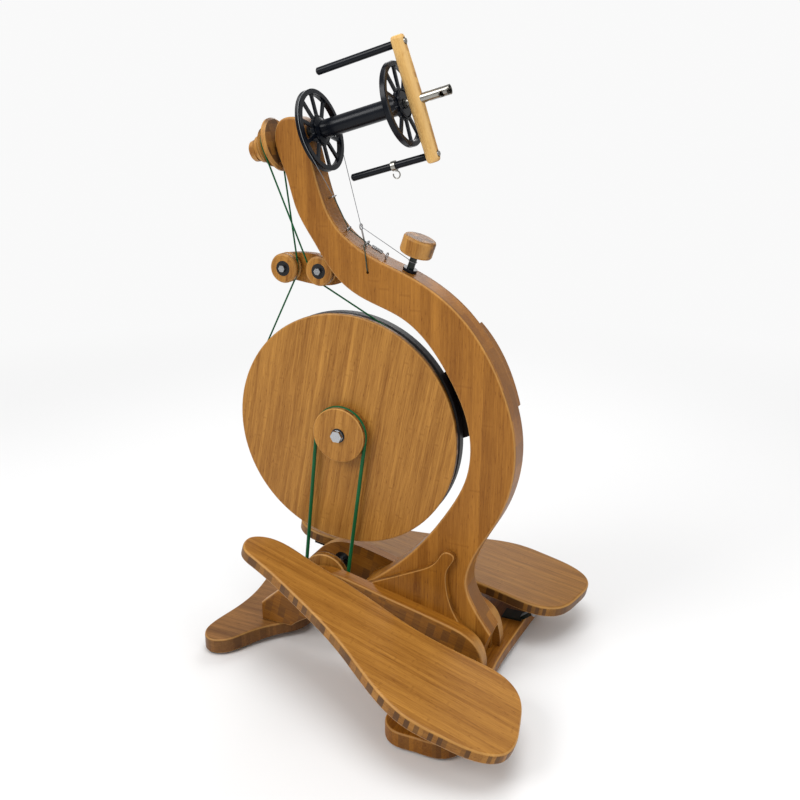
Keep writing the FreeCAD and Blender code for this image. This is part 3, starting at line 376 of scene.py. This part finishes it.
wears = {
    "frameBamboo": ["c_frame", "idler_bracket"],
    "cheekBamboo": ["near_cheek", "far_cheek"],
    "armBamboo": ["wheel_arm"],
    "wheelBamboo": ["wheel_face"],
    "treadleNear": ["near_treadle"],
    "treadleFar": ["far_treadle"],
    "railBamboo": ["near_rail", "far_rail"],
    "footBamboo": ["back_foot"],
    "barBamboo": ["front_foot"],
    "turnedBamboo": ["hub_pulley", "crank_pulley", "left_idler", "right_idler", "whorl", "brake_knob"],
    "goldenBar": ["crossbar"],
    "charcoalCore": ["wheel_core"],
    "blackMoulded": ["bobbin_core", "bobbin_flanges", "flyer_arms", "knob_bush", "near_treadle_bracket",
                     "far_treadle_bracket", "near_footman", "far_footman"],
    "blackMetal": ["near_crank", "far_crank", "knob_screw", "base_hinges"],
    "padRubber": ["foot_pads"],
    "bearingShield": ["wheel_bearings", "head_bearings", "crank_bearings", "left_idler_bearings",
                      "right_idler_bearings"],
    "zincSteel": ["wheel_axle", "axle_fasteners", "arm_bolts", "rail_bolts", "idler_bolts", "hinge_pins",
                  "near_treadle_hinges", "far_treadle_hinges", "crank_shaft",
                  "near_footman_pins", "far_footman_pins", "line_eyes"],
    "polishedSteel": ["orifice_tube", "flyer_shaft", "arm_screws", "flyer_hook"],
    "greenBelt": ["drive_band"],
    "clearLine": ["brake_line"],
    "darkCord": ["brake_cords"],
}
for finish, names in wears.items():
    for name in names:
        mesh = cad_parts[name].data
        mesh.materials.clear()
        mesh.materials.append(finishes[finish])
print("finishes placed")


# pieces made here, in place of the frame's plain ones

def cordMesh(name, points, radius, closed, roundness):
    # a round cord through these points, made a mesh with its place in it
    path = bpy.data.curves.new(name, "CURVE")
    path.dimensions = "3D"
    path.bevel_depth = radius
    path.bevel_resolution = roundness
    line = path.splines.new("POLY")
    line.points.add(len(points) - 1)
    for point, place in zip(line.points, points):
        point.co = (*place, 1)
    line.use_cyclic_u = closed
    path.use_fill_caps = not closed
    cord = bpy.data.objects.new(name, path)
    bpy.context.scene.collection.objects.link(cord)
    bpy.ops.object.select_all(action="DESELECT")
    cord.select_set(True)
    bpy.context.view_layer.objects.active = cord
    bpy.ops.object.convert(target="MESH")
    bpy.ops.object.mode_set(mode="EDIT")
    bpy.ops.mesh.select_all(action="SELECT")
    bpy.ops.mesh.normals_make_consistent(inside=False)
    bpy.ops.object.mode_set(mode="OBJECT")
    bpy.ops.object.shade_smooth()
    cord.select_set(False)
    return cord


def middleAndRadius(pulley):
    low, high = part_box(pulley)
    return (low + high) / 2, (high.z - low.z) / 2


# the belt's middle runs this far inside each pulley's rim, so it stands a little proud
belt = {"inHubRim": 0.0013, "inCrankRim": 0.0016, "radius": 0.00285, "steps": 48, "roundness": 5}


def makeTreadleBelt():
    hubMiddle, hubRadius = middleAndRadius("hub_pulley")
    crankMiddle, crankRadius = middleAndRadius("crank_pulley")
    hub, hubPath = hubMiddle.xz, hubRadius - belt["inHubRim"]
    crank, crankPath = crankMiddle.xz, crankRadius - belt["inCrankRim"]
    down = crank - hub
    lean = math.asin((hubPath - crankPath) / down.length)
    down.normalize()
    side = Vector((-down.y, down.x))
    quarter = math.pi / 2
    points = []
    for centre, reach, first, last in ((hub, hubPath, quarter - lean, 3 * quarter + lean),
                                       (crank, crankPath, lean - quarter, quarter - lean)):
        for i in range(belt["steps"] + 1):
            turn = first + (last - first) * i / belt["steps"]
            spot = centre + (down * math.cos(turn) + side * math.sin(turn)) * reach
            points.append((spot.x, hubMiddle.y, spot.y))
    made = cordMesh("treadleBelt", points, belt["radius"], True, belt["roundness"])
    made.data.materials.append(finishes["greenBelt"])
    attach(made, "frame")
    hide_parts("treadle_belt")


spring = {
    "start": (-0.023772, 0, 0.6338), "end": (-0.008272, 0, 0.6262),      # the coil's two ends
    "radius": 0.0022, "wire": 0.00042, "turns": 13, "perTurn": 20, "roundness": 2,
    "lead": 0.0008, "hook": 0.0042,      # straight wire past each end, to the coil's axis and to its tip
}


def makeBrakeSpring():
    start, end = Vector(spring["start"]), Vector(spring["end"])
    along = (end - start).normalized()
    acrossY = Vector((0, 1, 0))
    up = along.cross(acrossY)
    points = [start - along * spring["hook"], start - along * spring["lead"]]
    count = spring["turns"] * spring["perTurn"]
    for i in range(count + 1):
        turn = 2 * math.pi * i / spring["perTurn"]
        out = up * math.cos(turn) + acrossY * math.sin(turn)
        points.append(start + (end - start) * (i / count) + out * spring["radius"])
    points += [end + along * spring["lead"], end + along * spring["hook"]]
    made = cordMesh("brakeSpring", points, spring["wire"], False, spring["roundness"])
    made.data.materials.append(finishes["zincSteel"])
    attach(made, "frame")
    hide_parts("brake_spring")


makeTreadleBelt()
makeBrakeSpring()
print("belt and spring made")


# floor, light and camera

studio = {
    "floorSize": 40.0, "floorDrop": 0.0005, "floorTone": (0.83, 0.83, 0.83), "floorRough": 0.9,
    "fadeFrom": 0.9, "fadeTo": 2.4,
    "skyTone": (1.0, 1.0, 1.0), "skyStrength": 0.52, "backdrop": 0.95,
    "lights": {   # place, size, watts
        "keySoftbox": ((-1.5, -2.2, 2.3), 1.5, 46),
        "topSoftbox": ((0.2, -0.1, 2.9), 1.8, 38),
        "sideSoftbox": ((2.4, -0.7, 1.3), 1.2, 12),
        "backSoftbox": ((-0.6, 2.4, 2.0), 1.6, 20),
    },
    "aim": (0.0, 0.0, 0.4),
}


def layFloor():
    bpy.ops.mesh.primitive_plane_add(size=studio["floorSize"], location=(0, 0, -studio["floorDrop"]))
    floor = bpy.context.object
    floor.name = "studioFloor"
    paint = bpy.data.materials.new("floorPaint")
    paint.use_nodes = True
    tree = paint.node_tree
    shader = tree.nodes["Principled BSDF"]
    shader.inputs["Base Color"].default_value = (*studio["floorTone"], 1)
    shader.inputs["Roughness"].default_value = studio["floorRough"]
    # far out, the floor runs into the backdrop, so no horizon shows
    glow = addNode(tree, "Emission")
    glow.inputs["Color"].default_value = (*studio["skyTone"], 1)
    glow.inputs["Strength"].default_value = studio["backdrop"]
    x, y = partsOf(tree, addNode(tree, "TexCoord").outputs["Object"])[:2]
    reach = calc(tree, "SQRT", calc(tree, "ADD", calc(tree, "MULTIPLY", x, x), calc(tree, "MULTIPLY", y, y)))
    far = band(tree, reach, studio["fadeFrom"], studio["fadeTo"])
    seen = calc(tree, "MULTIPLY", far, addNode(tree, "LightPath").outputs["Is Camera Ray"])
    blend = addNode(tree, "MixShader")
    tree.links.new(seen, blend.inputs[0])
    tree.links.new(shader.outputs[0], blend.inputs[1])
    tree.links.new(glow.outputs[0], blend.inputs[2])
    tree.links.new(blend.outputs[0], tree.nodes["Material Output"].inputs[0])
    floor.data.materials.append(paint)


def hangLights():
    for name, (place, size, watts) in studio["lights"].items():
        lamp = bpy.data.lights.new(name, "AREA")
        lamp.shape = "SQUARE"
        lamp.size = size
        lamp.energy = watts
        holder = bpy.data.objects.new(name, lamp)
        holder.location = place
        aim = Vector(studio["aim"]) - Vector(place)
        holder.rotation_euler = aim.to_track_quat("-Z", "Y").to_euler()
        bpy.context.scene.collection.objects.link(holder)
    world = bpy.data.worlds.new("studioSky")
    world.use_nodes = True
    sky = world.node_tree.nodes["Background"]
    sky.inputs["Color"].default_value = (*studio["skyTone"], 1)
    tree = world.node_tree
    seen = addNode(tree, "LightPath").outputs["Is Camera Ray"]
    plug(tree, sky.inputs["Strength"], band(tree, seen, 0.0, 1.0, studio["skyStrength"], studio["backdrop"]))
    bpy.context.scene.world = world
    bpy.context.scene.view_settings.view_transform = "Standard"


camera = {"place": (0.51468, -1.12841, 0.82026), "turn": (71.83, -0.14, 23.77), "lens": 40.5,
          "sensor": 36.0, "near": 0.01, "far": 100.0}


def setCamera():
    data = bpy.data.cameras.new("studioCamera")
    data.sensor_width = camera["sensor"]
    data.lens = camera["lens"]
    data.clip_start = camera["near"]
    data.clip_end = camera["far"]
    holder = bpy.data.objects.new("studioCamera", data)
    holder.location = camera["place"]
    holder.rotation_euler = [math.radians(angle) for angle in camera["turn"]]
    bpy.context.scene.collection.objects.link(holder)
    bpy.context.scene.camera = holder


layFloor()
hangLights()
setCamera()
print("studio ready")
